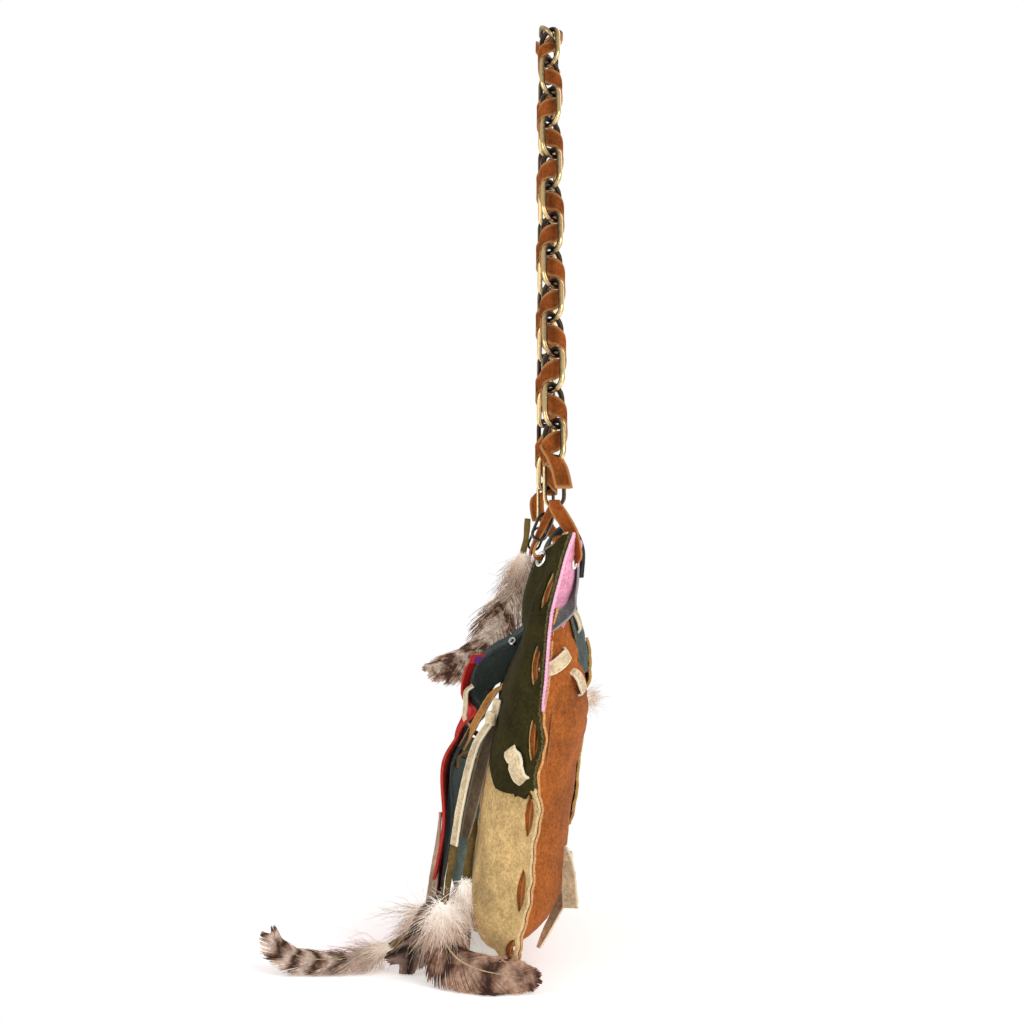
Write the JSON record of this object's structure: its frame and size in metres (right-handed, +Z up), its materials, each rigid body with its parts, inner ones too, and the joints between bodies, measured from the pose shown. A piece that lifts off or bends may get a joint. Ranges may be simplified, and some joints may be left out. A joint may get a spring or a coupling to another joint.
{
  "type": "suede shoulder bag",
  "caption": "Patchwork suede shoulder bag with a laced seam, a flap over a front pocket, hanging feathers, and a chain strap with a suede lace woven through it.",
  "frame": {"origin": "hanging point: the underside of the top link of the strap, where a hook or a shoulder holds the bag", "axes": "+Z up, X along the bag's width with the near end at +X, -Y the front with the flap"},
  "size_m": [0.3087, 0.1844, 0.5702],
  "materials": {
    "aged_brass": "antique brass, worn bright on the ridges and dark in the hollows",
    "nickel": "dull nickel plate",
    "brown_lace": "rust brown suede lace with a raw edge",
    "sand_suede": "sand suede with a soft nap",
    "rust_suede": "rust suede with a soft nap",
    "olive_suede": "dark olive suede",
    "pink_suede": "pink suede",
    "slate_suede": "slate grey suede",
    "dark_suede": "near black suede",
    "gold_suede": "golden brown suede",
    "red_suede": "dark red suede",
    "purple_suede": "purple suede",
    "cream_lace": "cream suede lace",
    "grey_lace": "grey suede lace",
    "barred_feather": "natural barred feather with a downy root, in a suede sleeve"
  },
  "bodies": {
    "strap": {"chain_link_01": "aged_brass", "chain_link_02": "aged_brass", "chain_link_03": "aged_brass", "chain_link_04": "aged_brass", "chain_link_05": "aged_brass", "chain_link_06": "aged_brass", "chain_link_07": "aged_brass", "chain_link_08": "aged_brass", "chain_link_09": "aged_brass", "chain_link_10": "aged_brass", "chain_link_11": "aged_brass", "chain_link_12": "aged_brass", "chain_link_13": "aged_brass", "chain_link_14": "aged_brass", "chain_link_15": "aged_brass", "chain_link_16": "aged_brass", "chain_link_17": "aged_brass", "chain_link_18": "aged_brass", "chain_link_19": "aged_brass", "chain_link_20": "aged_brass", "chain_link_21": "aged_brass", "chain_link_22": "aged_brass", "chain_link_23": "aged_brass", "chain_link_24": "aged_brass", "chain_link_25": "aged_brass", "chain_link_26": "aged_brass", "chain_link_27": "aged_brass", "end_ring_near": "aged_brass", "end_ring_far": "aged_brass", "strap_lace": "brown_lace"},
    "bag": {"corner_lace_near": "brown_lace", "corner_lace_far": "brown_lace", "corner_link_near": "aged_brass", "corner_link_far": "aged_brass", "front_eyelet_near": "nickel", "front_eyelet_far": "nickel", "back_eyelet_near": "nickel", "back_eyelet_far": "nickel", "front_panel": "sand_suede", "back_panel": "rust_suede", "seam_lacing": "brown_lace", "olive_patch_near": "olive_suede", "olive_patch_far": "olive_suede", "pink_patch_near": "pink_suede", "pink_patch_far": "pink_suede", "back_slate_patch": "slate_suede", "back_gold_patch": "gold_suede", "front_pocket": "slate_suede", "flap": "dark_suede", "flap_red_layer": "red_suede", "flap_purple_strip": "purple_suede", "tie_lace": "cream_lace", "flap_hanging_lace": "cream_lace", "back_grey_lace": "grey_lace", "back_base_lace": "cream_lace", "upper_feather": "barred_feather", "front_feather": "barred_feather", "dark_feather": "barred_feather", "side_feather": "barred_feather", "floor_feather": "barred_feather"}
  },
  "joints": [
    {"name": "bag_swing", "type": "hinge", "parent": "strap", "child": "bag", "pos_m": [0, 0, -0.28978], "axis": [1, 0, 0], "range_deg": [-75, 75]}
  ]
}
